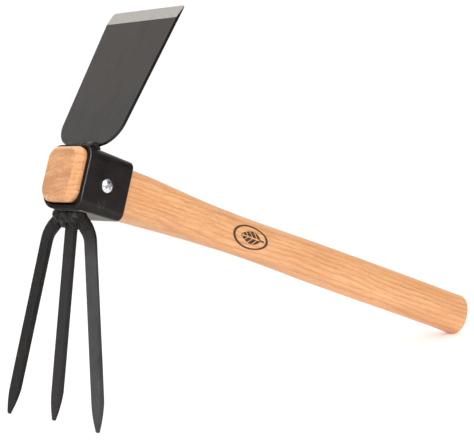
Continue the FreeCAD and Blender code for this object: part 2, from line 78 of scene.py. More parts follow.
class Graph:
    """Short names for building one material's node tree."""

    def __init__(self, name):
        self.material = bpy.data.materials.new(name)
        self.material.use_nodes = True
        self.tree = self.material.node_tree
        self.shader = self.tree.nodes["Principled BSDF"]

    def wire(self, socket, value):
        """Link a socket to another, or set its value."""
        if isinstance(value, bpy.types.NodeSocket):
            self.tree.links.new(value, socket)
        else:
            socket.default_value = value

    def add(self, kind, output=0, settings=None, **inputs):
        """New node; an input is named as in Blender, or i0, i1 and so on by its place."""
        node = self.tree.nodes.new(kind)
        for key, value in (settings or {}).items():
            setattr(node, key, value)
        for key, value in inputs.items():
            name = int(key[1:]) if key[1:].isdigit() else key.replace("_", " ")
            self.wire(node.inputs[name], value)
        return node.outputs[output]

    def math(self, operation, first, second=0.0):
        return self.add("ShaderNodeMath", settings={"operation": operation}, i0=first, i1=second)

    def product(self, first, *others):
        for other in others:
            first = self.math("MULTIPLY", first, other)
        return first

    def total(self, first, *others):
        for other in others:
            first = self.math("ADD", first, other)
        return first

    def vector_math(self, operation, output, first, second=(0.0, 0.0, 0.0)):
        return self.add("ShaderNodeVectorMath", output=output, settings={"operation": operation},
                        i0=first, i1=second)

    def place(self, origin, turn_y=0.0):
        """Millimetres from origin, in a frame turned about Y."""
        points = self.add("ShaderNodeTexCoord", output="Object")
        return self.add("ShaderNodeMapping", settings={"vector_type": "TEXTURE"}, Vector=points,
                        Location=origin, Rotation=(0.0, turn_y, 0.0), Scale=(MM, MM, MM))

    def stretch(self, vector, scale, shift=(0.0, 0.0, 0.0)):
        return self.add("ShaderNodeMapping", settings={"vector_type": "POINT"}, Vector=vector,
                        Location=shift, Scale=scale)

    def axes(self, vector):
        return self.add("ShaderNodeSeparateXYZ", output="X", i0=vector).node.outputs

    def dot(self, first, second):
        return self.vector_math("DOT_PRODUCT", "Value", first, second)

    def length(self, vector, scale=WHITE):
        return self.vector_math("LENGTH", "Value", self.stretch(vector, scale))

    def distance(self, vector, centre):
        return self.length(self.vector_math("SUBTRACT", "Vector", vector, centre))

    def noise(self, vector, cells, detail=2.0, roughness=0.5):
        """Noise with so many cells per unit; a tuple gives the cells along each axis."""
        if isinstance(cells, tuple):
            vector = self.stretch(vector, cells)
            cells = 1.0
        return self.add("ShaderNodeTexNoise", output="Fac", Vector=vector, Scale=cells,
                        Detail=detail, Roughness=roughness)

    def patterns(self, vector, table):
        """One noise for each name in a table of (cells, detail, roughness)."""
        return {name: self.noise(vector, *settings) for name, settings in table.items()}

    def ramp(self, factor, stops):
        """Grey ramp; stops are (position, grey) pairs."""
        node = self.tree.nodes.new("ShaderNodeValToRGB")
        elements = node.color_ramp.elements
        while len(elements) < len(stops):
            elements.new(0.5)
        for element, (position, grey) in zip(elements, stops):
            element.position = position
            element.color = (grey, grey, grey, 1.0)
        self.wire(node.inputs["Fac"], factor)
        return node.outputs["Color"]

    def masks(self, look, table):
        """One mask for each name in a table of (pattern, low, high, to_low, to_high)."""
        return {name: self.span(look[pattern], *band) for name, (pattern, *band) in table.items()}

    def lay(self, top, colour, *masks):
        """Lay a top colour over another, as strongly as the masks multiplied together."""
        return self.mix(self.product(*masks), colour, top)

    def relief(self, look, weights):
        """Height from the patterns, each times its weight."""
        return self.total(*(self.product(look[name], weight) for name, weight in weights.items()))

    def span(self, value, low, high, to_low=0.0, to_high=1.0):
        """Map low..high to to_low..to_high, held at both ends."""
        return self.add("ShaderNodeMapRange", settings={"clamp": True}, i0=value, i1=low, i2=high,
                        i3=to_low, i4=to_high)

    def even(self, value, to_low=0.0, to_high=1.0):
        """Map the middle of a noise's values to to_low..to_high."""
        return self.span(value, *NOISE_MIDDLE, to_low, to_high)

    def mix(self, factor, first, second):
        node = self.tree.nodes.new("ShaderNodeMix")
        node.data_type = "RGBA"
        for index, value in ((0, factor), (6, first), (7, second)):
            if isinstance(value, tuple):
                value = (*value, 1.0)
            self.wire(node.inputs[index], value)
        return node.outputs[2]

    def bump(self, height, distance, strength, normal=None):
        node = self.tree.nodes.new("ShaderNodeBump")
        node.inputs["Strength"].default_value = strength
        node.inputs["Distance"].default_value = distance
        self.wire(node.inputs["Height"], height)
        if normal is not None:
            self.wire(node.inputs["Normal"], normal)
        return node.outputs[0]

    def normal(self):
        return self.add("ShaderNodeNewGeometry", output="Normal")

    def rounded(self, radius):
        return self.add("ShaderNodeBevel", settings={"samples": ROUNDING_SAMPLES},
                        Radius=radius)

    def edges(self, rounded):
        """Bright near sharp edges, where the rounded normal leaves the true one."""
        return self.span(self.dot(rounded, self.normal()), *EDGE_COSINES)

    def finish(self, **sockets):
        for key, value in sockets.items():
            self.wire(self.shader.inputs[key.replace("_", " ")], value)
        return self.material


# Wood -------------------------------------------------------------------------------------
# Here and below, a pair of numbers in a range is where an effect sets in and where it is whole:
# the cosine of the angle to a direction if its name says facing, millimetres if it says _MM.

# The emblem: its centre along and up the handle, and its ring's half axes.  The ring's line is
# whole to this share of the oval's size on either side of it, and gone at twice that.
EMBLEM_X_MM = 151.0
EMBLEM_Z_MM = 0.5
EMBLEM_RING_MM = (15.5, 6.9)
EMBLEM_LINE = 0.05
EMBLEM_FACING = (0.0, 0.2)
# The leaf is where two circles overlap, squeezed at its point and widened at its stalk.
LEAF_RADIUS_MM = 13.8
LEAF_OFFSET_MM = 9.4
LEAF_REACH_MM = 10.0
LEAF_SQUEEZE = (1.35, 0.75)
LEAF_SOFT_MM = 0.4
# Half widths of the middle vein and, as a share of their spacing, of the side veins.
VEIN_MM = 0.25
RIB_SPACING_MM = 4.2
RIB_SHARE = 0.06
STALK_ENDS_MM = ((8.0, 8.4), (13.0, 12.7))
BURNT = (0.030, 0.011, 0.006)
BURNT_ROUGHNESS = 0.35

# Growth rings round a pith far below and beside the handle, which falls away along it.
RING_SPACING_MM = 3.4
RING_PROFILE = ((0.0, 0.05), (0.14, 1.0), (0.36, 0.50), (0.72, 0.0), (1.0, 0.05))
RING_STRENGTH = 0.70
RING_RIPPLE_MM = 1.7
PITH_Y_MM = 26.0
PITH_Z_MM = 125.0
PITH_FALL = 0.010
# Distances from the head end at which the grain is wild and calm, with the rings' sway and the
# strength of the smears at each.
HEAD_GRAIN_MM = (30.0, 170.0)
RING_SWAY_MM = (17.0, 9.0)
SMEAR_STRENGTH = (0.75, 0.35)

WOOD_PALE = ((0.80, 0.392, 0.176), (0.905, 0.482, 0.230))
WOOD_LINE = (0.45, 0.185, 0.066)
WOOD_SMEAR_AND_SHADE = (0.54, 0.238, 0.092)
WOOD_AMBER = (0.84, 0.375, 0.145)
WOOD_TOP_HIGHLIGHT = (0.96, 0.66, 0.42)
WOOD_PORE = (0.34, 0.140, 0.050)
WOOD_END = (0.52, 0.235, 0.095)
WOOD_RIM_SHADE = (0.05, 0.022, 0.012)
PORE_STRENGTH = 0.50
SPOT_STRENGTH = 0.45
RIM_SHADE_STRENGTH = 0.92
TOP_LIGHT_UNDER_SHADE_STRENGTH = 0.30
# Upward part of the surface's direction over which the handle gets painted shade below and a
# painted highlight on top.
SHADED_UNDER_HEIGHT = (-0.35, -0.95)
LIT_TOP_HEIGHT = (0.55, 0.95)
END_FACING = (0.80, 0.95)
# Painted shade on the wood sets in before the front rim of the eye and ends behind the sleeve.
RIM_SHADE_BEFORE_RIM_MM = (0.7, 0.1)
RIM_SHADE_END_MM = (40.0, 39.0)

# Cells per millimetre along and across the grain, detail and roughness of each pattern.
WOOD_PATTERNS = {
    "wander": ((0.009, 0.045, 0.045), 2.0, 0.5),
    "ripple": ((0.04, 0.22, 0.22), 3.0, 0.55),
    "streak": ((0.022, 0.75, 0.75), 4.0, 0.6),
    "fleck": ((0.10, 1.5, 1.5), 3.0, 0.6),
    "pores": ((0.17, 4.2, 4.2), 2.0, 0.5),
    "blotch": ((0.016, 0.10, 0.10), 2.0, 0.5),
    "faint": ((0.03, 0.16, 0.16), 2.0, 0.5),
    "dashes": ((0.050, 1.8, 1.8), 3.0, 0.6),
    "amber": ((0.010, 0.26, 0.26), 2.0, 0.5),
    "spots": ((0.2, 0.45, 0.80), 3.0, 0.6),
    "bands": ((0.05, 0.035, 0.17), 3.0, 0.6),
}
# The pattern of each mask, two values of it, and the mask's strength at each.
WOOD_MASKS = {
    "pale": ("blotch", 0.35, 0.65, 0.0, 1.0),
    "line_faint": ("faint", 0.30, 0.62, 0.35, 1.0),
    "line_fleck": ("fleck", 0.25, 0.60, 0.5, 1.0),
    "smear": ("streak", 0.50, 0.72, 0.0, 1.0),
    "dashes": ("dashes", 0.54, 0.66, 0.0, 1.0),
    "dash_blotch": ("blotch", 0.35, 0.60, 0.30, 0.62),
    "amber": ("amber", 0.52, 0.68, 0.0, 0.55),
    "pores": ("pores", 0.56, 0.70, 0.0, 1.0),
    "spots": ("spots", 0.52, 0.70, 0.0, 1.0),
    "bands": ("bands", 0.42, 0.60, 0.10, 0.75),
    "burnt": ("fleck", 0.20, 0.45, 0.78, 0.95),
}
WOOD_RELIEF = {"pores": -0.6, "fleck": 0.6, "spots": -0.9, "burnt": -0.7}
WOOD_ROUGHNESS = (0.44, 0.56)
WOOD_BUMP = (0.16 * MM, 0.55)


def burnt_emblem(g, grain, normal):
    """Mask of a plain leaf in an oval ring, on the near flank only."""
    place = g.stretch(grain, WHITE, (-EMBLEM_X_MM, 0.0, -EMBLEM_Z_MM))
    oval = g.length(place, (1 / EMBLEM_RING_MM[0], 0.0, 1 / EMBLEM_RING_MM[1]))
    off_ring = g.math("ABSOLUTE", g.math("SUBTRACT", oval, 1.0))
    ring = g.span(off_ring, 2 * EMBLEM_LINE, EMBLEM_LINE)
    x, _, z = g.axes(place)
    z = g.math("ABSOLUTE", g.product(z, g.span(x, -LEAF_REACH_MM, LEAF_REACH_MM, *LEAF_SQUEEZE)))
    off = g.total(z, LEAF_OFFSET_MM)
    reach = g.math("SQRT", g.total(g.product(x, x), g.product(off, off)))
    leaf = g.span(reach, LEAF_RADIUS_MM, LEAF_RADIUS_MM - LEAF_SOFT_MM)
    beside_vein = g.span(z, VEIN_MM, 2 * VEIN_MM)
    stalk = g.product(g.math("SUBTRACT", 1.0, beside_vein),
                      *(g.span(x, *end) for end in STALK_ENDS_MM))
    rib = g.math("FRACT", g.math("DIVIDE", g.total(x, z), RIB_SPACING_MM))
    beside_rib = g.span(g.math("ABSOLUTE", g.math("SUBTRACT", rib, 0.5)), RIB_SHARE, 2 * RIB_SHARE)
    leaf = g.product(leaf, beside_vein, beside_rib)
    mark = g.math("MAXIMUM", g.math("MAXIMUM", ring, stalk), leaf)
    return g.product(mark, g.span(g.dot(normal, -ACROSS), *EMBLEM_FACING))


def growth_lines(g, grain, wander, ripple):
    """Dark at each growth ring, with rings that sway more near the head."""
    x, y, z = g.axes(grain)
    across = g.total(y, PITH_Y_MM)
    height = g.total(z, PITH_Z_MM, g.product(x, PITH_FALL))
    square = g.total(g.math("POWER", across, 2.0), g.math("POWER", height, 2.0))
    sway = g.product(wander, g.span(x, *HEAD_GRAIN_MM, *RING_SWAY_MM))
    radius = g.total(g.math("SQRT", square), sway, g.product(ripple, RING_RIPPLE_MM))
    return g.ramp(g.math("FRACT", g.math("DIVIDE", radius, RING_SPACING_MM)), RING_PROFILE)


def ash_wood():
    """Long grain from growth rings, pores along the handle, blotched end grain and a burnt mark."""
    g = Graph("ash_wood")
    grain = g.place(HEAD_END, LEAN)
    normal = g.normal()
    look = g.patterns(grain, WOOD_PATTERNS)
    mask = g.masks(look, WOOD_MASKS)
    x = g.axes(grain)[0]

    colour = g.mix(mask["pale"], *WOOD_PALE)
    line = growth_lines(g, grain, look["wander"], look["ripple"])
    colour = g.lay(WOOD_LINE, colour, line, mask["line_faint"], mask["line_fleck"], RING_STRENGTH)
    wild = g.span(x, *HEAD_GRAIN_MM, *SMEAR_STRENGTH)
    colour = g.lay(WOOD_SMEAR_AND_SHADE, colour, mask["smear"], wild)
    colour = g.lay(WOOD_SMEAR_AND_SHADE, colour, mask["dashes"], mask["dash_blotch"])
    colour = g.lay(WOOD_AMBER, colour, mask["amber"])
    colour = g.lay(WOOD_PORE, colour, mask["pores"], PORE_STRENGTH)
    # Painted shade on the handle's underside and a painted highlight on its top; the smear colour
    # doubles as the shade.
    height = g.axes(normal)[2]
    colour = g.lay(WOOD_SMEAR_AND_SHADE, colour, g.span(height, *SHADED_UNDER_HEIGHT), TOP_LIGHT_UNDER_SHADE_STRENGTH)
    colour = g.lay(WOOD_TOP_HIGHLIGHT, colour, g.span(height, *LIT_TOP_HEIGHT), TOP_LIGHT_UNDER_SHADE_STRENGTH)

    end = g.span(g.dot(normal, -ALONG), *END_FACING)
    colour = g.lay(WOOD_END, colour, end, mask["bands"])
    spots = g.product(end, mask["spots"])
    colour = g.lay(WOOD_PORE, colour, spots, SPOT_STRENGTH)

    # Painted shade on the wood where it goes into the sleeve at the eye's front rim.
    rim_x = HEAD_END_TO_EYE_MM[0] + EYE_FRONT_MM
    at_rim = g.span(x, *(rim_x - before for before in RIM_SHADE_BEFORE_RIM_MM))
    colour = g.lay(WOOD_RIM_SHADE, colour, at_rim, g.span(x, *RIM_SHADE_END_MM), RIM_SHADE_STRENGTH)
    burnt = g.product(burnt_emblem(g, grain, normal), mask["burnt"])
    colour = g.lay(BURNT, colour, burnt)

    heights = {**look, "pores": mask["pores"], "spots": spots, "burnt": burnt}
    roughness = g.total(g.even(look["streak"], *WOOD_ROUGHNESS), g.product(burnt, BURNT_ROUGHNESS))
    return g.finish(Base_Color=colour, Roughness=roughness, IOR=IOR,
                    Normal=g.bump(g.relief(heights, WOOD_RELIEF), *WOOD_BUMP))


# Paint and metal --------------------------------------------------------------------------

PAINT_WORN = (0.10, 0.092, 0.088)
PAINT_RUBBED = (0.060, 0.052, 0.050)
PAINT_HIGHLIGHT = (0.110, 0.094, 0.104)
# The mottle's paler parts are so many times as pale as its darker ones.
PAINT_MOTTLE = 1.5
# Height in the head's frame over which the bars' paint turns to the darker paint of the weld,
# and how far the mottle moves it.
ROOT_FADE_MM = (-46.0, -32.0)
ROOT_SHIFT_MM = 4.0
# The part of a painted highlight's radius within which it is whole.
HIGHLIGHT_CORE = 0.3
PAINT_PATTERNS = {
    "mottle": (0.11, 4.0, 0.6),
    "peel": (1.1, 3.0, 0.55),
    "speck": (0.45, 1.0, 0.4),
    "streak": ((0.9, 0.9, 0.07), 3.0, 0.6),
    "grit": (0.75, 2.0, 0.6),
}
PAINT_MASKS = {
    "streaks": ("streak", 0.46, 0.72, 0.0, 0.16),
    "grains": ("grit", 0.50, 0.66, 0.0, 0.10),
    "specks": ("speck", 0.70, 0.78, 0.0, 0.30),
    "highlight": ("grit", 0.38, 0.58, 0.3, 0.9),
    "wear": ("mottle", 0.35, 0.65, 0.1, 0.7),
    "rough": ("grit", 0.35, 0.65, -0.05, 0.07),
}
PAINT_RELIEF = {"peel": 0.6, "grit": 0.8}
PAINT_ROUGHNESS_SPREAD = (-0.05, 0.08)
PAINT_ROUNDING = 0.5 * MM
PAINT_BUMP = (0.06 * MM, 0.5)


def black_paint(name, base, roughness, gloss, root=None, highlights=()):
    """Satin black paint: orange peel, streaks, specks and rubbed edges.

    root is its upper colour; highlights are painted highlight spots, each (x, y, z, radius) in the
    head's frame.
    """
    g = Graph(name)
    points = g.place(EYE, LEAN)
    look = g.patterns(points, PAINT_PATTERNS)
    mask = g.masks(look, PAINT_MASKS)
    colour = g.mix(g.even(look["mottle"]), base, tuple(value * PAINT_MOTTLE for value in base))
    if root is not None:
        shift = g.even(look["mottle"], -ROOT_SHIFT_MM, ROOT_SHIFT_MM)
        colour = g.lay(root, colour, g.span(g.total(g.axes(points)[2], shift), *ROOT_FADE_MM))
    colour = g.lay(PAINT_RUBBED, colour, mask["streaks"])
    colour = g.lay(PAINT_RUBBED, colour, mask["grains"])
    colour = g.lay(PAINT_WORN, colour, mask["specks"])
    # Painted highlights, laid as paler spots.
    for *spot, radius in highlights:
        near = g.span(g.distance(points, spot), radius, radius * HIGHLIGHT_CORE)
        colour = g.lay(PAINT_HIGHLIGHT, colour, near, mask["highlight"])
    rounded = g.rounded(PAINT_ROUNDING)
    colour = g.lay(PAINT_WORN, colour, g.edges(rounded), mask["wear"])
    spread = (roughness + change for change in PAINT_ROUGHNESS_SPREAD)
    rough = g.total(g.even(look["mottle"], *spread), mask["rough"])
    return g.finish(Base_Color=colour, Roughness=rough, IOR=IOR, Specular_IOR_Level=gloss,
                    Normal=g.bump(g.relief(look, PAINT_RELIEF), *PAINT_BUMP, rounded))


COLLAR_BLACK = ((0.0080, 0.0056, 0.0052), (0.0130, 0.0100, 0.0092))
COLLAR_DRAG = (0.030, 0.027, 0.026)
# Near the front end of the sleeve, where both the painted rim shade and the painted edge highlight
# are.
COLLAR_FRONT_MM = (EYE_FRONT_MM + 1.4, EYE_FRONT_MM + 0.9)
RIM_SHADE_BLACK = (0.0042, 0.0028, 0.0024)
RIM_FACING = (0.85, 0.97)
RIM_ROUGHNESS = 0.4
# The painted highlight along the rim's outer edge, by distance from the eye's axis, side and
# height.
LIP_HIGHLIGHT_GREY = (0.20, 0.180, 0.190)
LIP_FACING = ((0.10, 0.35), (0.92, 0.75))
LIP_RADIUS_MM = (15.5, 16.5)
LIP_Y_MM = (-15.5, -17.5)
LIP_Z_MM = (-16.0, -11.0)
LIP_STRENGTH = (0.15, 1.0)
LIP_WHOLE = 0.85
# The painted reflection of the floor on the underside, paler towards the front.
UNDERSIDE_REFLECTION_GREY = ((0.150, 0.128, 0.110), (0.210, 0.184, 0.160))
UNDERSIDE_REFLECTION_PALE = (0.300, 0.272, 0.240)
UNDERSIDE_REFLECTION_FACING = (0.90, 0.98)
UNDERSIDE_REFLECTION_X_MM = (-13.0, -11.0)
UNDERSIDE_REFLECTION_PALE_X_MM = (8.0, -6.0)
UNDERSIDE_REFLECTION_PALE_STRENGTH = 0.6
# A rubbed patch on the near cheek: its centre and its soft edge's radii.
PATCH_GREY = (0.075, 0.070, 0.066)
PATCH_AT_MM = (-1.0, -18.9, -13.5)
PATCH_RADIUS_MM = (3.4, 2.0)
COLLAR_PATTERNS = {
    "mottle": (0.10, 4.0, 0.6),
    "peel": (0.9, 3.0, 0.55),
    "drag": ((0.10, 0.9, 0.9), 3.0, 0.6),
    "grit": (0.8, 2.0, 0.5),
}
COLLAR_MASKS = {
    "drag": ("drag", 0.52, 0.74, 0.0, 0.35),
    "lip": ("drag", 0.30, 0.55, 0.45, 1.0),
    "patch": ("grit", 0.48, 0.62, 0.0, 0.45),
}
COLLAR_RELIEF = {"peel": 0.7, "drag": 0.4}
COLLAR_ROUGHNESS = (0.30, 0.42)
# Faces that look down are rougher.
COLLAR_DOWN_FACING = (0.10, 0.50)
COLLAR_DOWN_ROUGHNESS = 0.35
COLLAR_GLOSS = 0.32
COLLAR_ROUNDING = 0.4 * MM
COLLAR_BUMP = (0.06 * MM, 0.45)


def collar_paint():
    """Sleeve paint: painted rim shade, painted edge highlight and painted reflection underneath."""
    g = Graph("collar_paint")
    points = g.place(EYE, LEAN)
    x, y, z = g.axes(points)
    normal = g.normal()
    look = g.patterns(points, COLLAR_PATTERNS)
    mask = g.masks(look, COLLAR_MASKS)
    colour = g.mix(g.even(look["mottle"]), *COLLAR_BLACK)
    colour = g.lay(COLLAR_DRAG, colour, mask["drag"])

    forward = g.dot(normal, -ALONG)
    at_front = g.span(x, *COLLAR_FRONT_MM)
    # Painted shade on the face of the front rim.
    rim_shade = g.product(g.span(forward, *RIM_FACING), at_front)
    colour = g.lay(RIM_SHADE_BLACK, colour, rim_shade)
    # Painted highlight along the near side of the rim's outer edge.
    from_axis = g.length(points, (0.0, 1.0, 1.0))
    lip = g.product(at_front, *(g.span(forward, *facing) for facing in LIP_FACING),
                    g.span(from_axis, *LIP_RADIUS_MM), g.span(y, *LIP_Y_MM),
                    g.span(z, *LIP_Z_MM, *LIP_STRENGTH), mask["lip"])
    colour = g.lay(LIP_HIGHLIGHT_GREY, colour, lip, LIP_WHOLE)

    downward = g.dot(normal, -UPWARD)
    # Painted reflection of the floor on the faces that look down.
    underside_reflection = g.mix(g.even(look["mottle"]), *UNDERSIDE_REFLECTION_GREY)
    underside_reflection = g.lay(UNDERSIDE_REFLECTION_PALE, underside_reflection, g.span(x, *UNDERSIDE_REFLECTION_PALE_X_MM), UNDERSIDE_REFLECTION_PALE_STRENGTH)
    colour = g.lay(underside_reflection, colour, g.span(downward, *UNDERSIDE_REFLECTION_FACING), g.span(x, *UNDERSIDE_REFLECTION_X_MM))
    patch = g.span(g.distance(points, PATCH_AT_MM), *PATCH_RADIUS_MM)
    colour = g.lay(PATCH_GREY, colour, patch, mask["patch"])

    rough = g.total(g.even(look["mottle"], *COLLAR_ROUGHNESS), g.product(rim_shade, RIM_ROUGHNESS),
                    g.span(downward, *COLLAR_DOWN_FACING, 0.0, COLLAR_DOWN_ROUGHNESS))
    bump = g.bump(g.relief(look, COLLAR_RELIEF), *COLLAR_BUMP, g.rounded(COLLAR_ROUNDING))
    return g.finish(Base_Color=colour, Roughness=rough, IOR=IOR, Specular_IOR_Level=COLLAR_GLOSS,
                    Normal=bump)


BLADE_BROWN = ((0.026, 0.0185, 0.0150), (0.038, 0.0285, 0.0235))
BLADE_BLOTCH = (0.022, 0.0165, 0.0140)
BLADE_COOL = (0.0235, 0.0235, 0.0215)
BLADE_WIPE = (0.0165, 0.0120, 0.0115)
BLADE_NICK = (0.12, 0.11, 0.105)
BLADE_BARE = (0.25, 0.23, 0.21)
BLADE_EDGE_SHADE = (0.005, 0.0042, 0.0038)
GROUND_STEEL = ((0.35, 0.322, 0.300), (0.50, 0.462, 0.435))
# Height up the blade over which its brown turns to the cooler grey of its root, how far the
# blotches move it, and the strength of the grey.
BLADE_COOL_MM = (60.0, 22.0)
BLADE_COOL_SHIFT_MM = 12.0
BLADE_COOL_STRENGTH = 0.85
BLADE_WEAR = 0.30
# The sides of the plate are where its surface turns from both of its faces.
SIDE_FACING = (0.6, 0.5)
GROUND_FACING = (0.985, 0.99)
BLADE_PATTERNS = {
    "mottle": (0.06, 5.0, 0.65),
    "blotch": (0.022, 2.0, 0.5),
    "peel": (1.0, 3.0, 0.5),
    "wipe": ((0.5, 0.16, 0.035), 3.0, 0.6),
    "nick": (0.30, 1.0, 0.4),
    "scratch": ((3.0, 3.0, 0.10), 2.0, 0.6),
}
BLADE_MASKS = {
    "blotch": ("blotch", 0.35, 0.70, 0.0, 0.5),
    "wipe": ("wipe", 0.52, 0.70, 0.0, 0.55),
    "nick": ("nick", 0.74, 0.80, 0.0, 0.25),
}
PAINTED_RELIEF = {"peel": 0.5}
GROUND_RELIEF = {"scratch": 0.4}
GROUND_METALLIC = 0.9
# Roughness of the painted and of the ground part, and how far the mottle moves both.
BLADE_ROUGHNESS = (0.42, 0.38)
BLADE_ROUGHNESS_SHIFT = 0.06
BLADE_GLOSS = 0.40
BLADE_ROUNDING = 0.3 * MM
BLADE_BUMP = (0.05 * MM, 0.6)


def face_direction(turn):
    """Direction of a face of the blade that is turned this much about Y."""
    return (-math.cos(turn), 0.0, math.sin(turn))


def blade_metal():
    """Painted plate, its edges nearly black with painted shade, and a cutting bevel ground to bare
    steel.
    """
    turn = LEAN + BLADE_PLACE[2]
    g = Graph("blade_metal")
    points = g.place(EYE, turn)
    normal = g.normal()
    look = g.patterns(points, BLADE_PATTERNS)
    mask = g.masks(look, BLADE_MASKS)
    paint = g.mix(g.even(look["mottle"]), *BLADE_BROWN)
    paint = g.lay(BLADE_BLOTCH, paint, mask["blotch"])
    shift = g.even(look["blotch"], -BLADE_COOL_SHIFT_MM, BLADE_COOL_SHIFT_MM)
    cool = g.span(g.total(g.axes(points)[2], shift), *BLADE_COOL_MM)
    paint = g.lay(BLADE_COOL, paint, cool, BLADE_COOL_STRENGTH)
    paint = g.lay(BLADE_WIPE, paint, mask["wipe"])
    paint = g.lay(BLADE_NICK, paint, mask["nick"])
    paint = g.lay(BLADE_BARE, paint, g.edges(g.rounded(BLADE_ROUNDING)), BLADE_WEAR)
    # Painted shade on the plate's sides, which turns them nearly black.
    flat = g.math("ABSOLUTE", g.dot(normal, face_direction(turn)))
    paint = g.lay(BLADE_EDGE_SHADE, paint, g.span(flat, *SIDE_FACING))

    ground = g.span(g.dot(normal, face_direction(turn + BEVEL_SLOPE)), *GROUND_FACING)
    steel = g.mix(g.even(look["scratch"]), *GROUND_STEEL)
    relief = g.mix(ground, g.relief(look, PAINTED_RELIEF), g.relief(look, GROUND_RELIEF))
    rough = g.total(g.span(ground, 0.0, 1.0, *BLADE_ROUGHNESS),
                    g.even(look["mottle"], -BLADE_ROUGHNESS_SHIFT, BLADE_ROUGHNESS_SHIFT))
    return g.finish(Base_Color=g.mix(ground, paint, steel), Roughness=rough, IOR=IOR,
                    Metallic=g.product(ground, GROUND_METALLIC), Specular_IOR_Level=BLADE_GLOSS,
                    Normal=g.bump(relief, *BLADE_BUMP))


ZINC = ((0.62, 0.63, 0.66), (0.80, 0.80, 0.82))
ZINC_CLOUD = (0.9, 3.0, 0.6)
ZINC_ROUGHNESS = (0.18, 0.34)
ZINC_BUMP = (0.03 * MM, 0.4)


def zinc_plate():
    """Bright clouded plating."""
    g = Graph("zinc_plate")
    cloud = g.noise(g.place((0.0, 0.0, 0.0)), *ZINC_CLOUD)
    return g.finish(Base_Color=g.mix(g.even(cloud), *ZINC), Metallic=1.0,
                    Roughness=g.even(cloud, *ZINC_ROUGHNESS), Normal=g.bump(cloud, *ZINC_BUMP))


def paint_node(node, material):
    """Give a CAD node its only material."""
    mesh = frame["nodes"][node].data
    mesh.materials.clear()
    mesh.materials.append(material)


# Weld metal -------------------------------------------------------------------------------

WELD_VOXEL = 0.36 * MM
WELD_SMOOTHING = 11
# How far the skin stands out, how far it sinks in at the cut, and the height of its ripples.
WELD_SWELL = 0.16 * MM
WELD_SINK = 0.30 * MM
WELD_RIPPLE = 0.30 * MM
# Size of the coarse and the fine ripples, and the share of the fine ones.
RIPPLE_SIZE = (2.6 * MM, 1.1 * MM)
FINE_RIPPLE = 0.3
# Every second drop of a bead is smaller by this factor.
SMALL_DROP = 0.97

# Beads, in millimetres of the drawing: x, z, reach to each side, drop radius, pitch and wobble.
# The fork's are the one under the collar, the metal below it and the metal behind it.
FORK_BEADS = (
    (-1.5, -0.9, 10.6, 3.1, 1.2, 0.2),
    (-1.3, -3.4, 8.2, 2.5, 1.2, 0.3),
    (2.2, -1.0, 7.6, 2.8, 1.2, 0.2),
)
# Each crotch between two bars is filled by a low drop at this y and z, with its x and radius
# below, and by a drop above it, nearer to the middle: x, share of the low one's y, z and radius.
CROTCHES_MM = ((-5.9, -7.1), (5.5, -6.1))
CROTCH_LOW = (0.5, 2.8)
CROTCH_HIGH = (-0.6, 0.62, -5.2, 2.6)
FORK_CUT_MM = -13.0
FORK_FADE_MM = 5.0
FORK_SEED = 11
# The blade's are along the front and the back of its root.
BLADE_BEAD_Z_MM = BLADE_ROOT_MM - 1.1
BLADE_BEADS = (
    (-0.2, BLADE_BEAD_Z_MM, 11.8, 2.7, 1.6, 0.2),
    (BLADE_THICKNESS_MM + 0.2, BLADE_BEAD_Z_MM - 0.3, 10.8, 2.5, 1.6, 0.2),
)
BLADE_CUT_MM = BLADE_ROOT_MM + 2.6
BLADE_FADE_MM = 1.8
BLADE_SEED = 5


def drawing_frame(x, z, turn):
    """Origin, direction along and direction up, in the scene, of a drawing placed on the head."""
    origin = EYE + (ALONG * x + UPWARD * z) * MM
    along = ALONG * math.cos(turn) - UPWARD * math.sin(turn)
    up = ALONG * math.sin(turn) + UPWARD * math.cos(turn)
    return origin, along, up


def fused(name, lumps):
    """Mesh of overlapping closed lumps run together by a voxel remesh, then smoothed."""
    rough_mesh = bpy.data.meshes.new(name + "_lumps")
    lumps.to_mesh(rough_mesh)
    lumps.free()
    lump_object = bpy.data.objects.new(name + "_lumps", rough_mesh)
    bpy.context.scene.collection.objects.link(lump_object)
    remesh = lump_object.modifiers.new("fuse", "REMESH")
    remesh.mode = "VOXEL"
    remesh.voxel_size = WELD_VOXEL
    smooth = lump_object.modifiers.new("flow", "SMOOTH")
    smooth.factor = 0.5
    smooth.iterations = WELD_SMOOTHING
    graph = bpy.context.evaluated_depsgraph_get()
    mesh = bpy.data.meshes.new_from_object(lump_object.evaluated_get(graph))
    bpy.data.objects.remove(lump_object)
    bpy.data.meshes.remove(rough_mesh)
    mesh.name = name
    return mesh


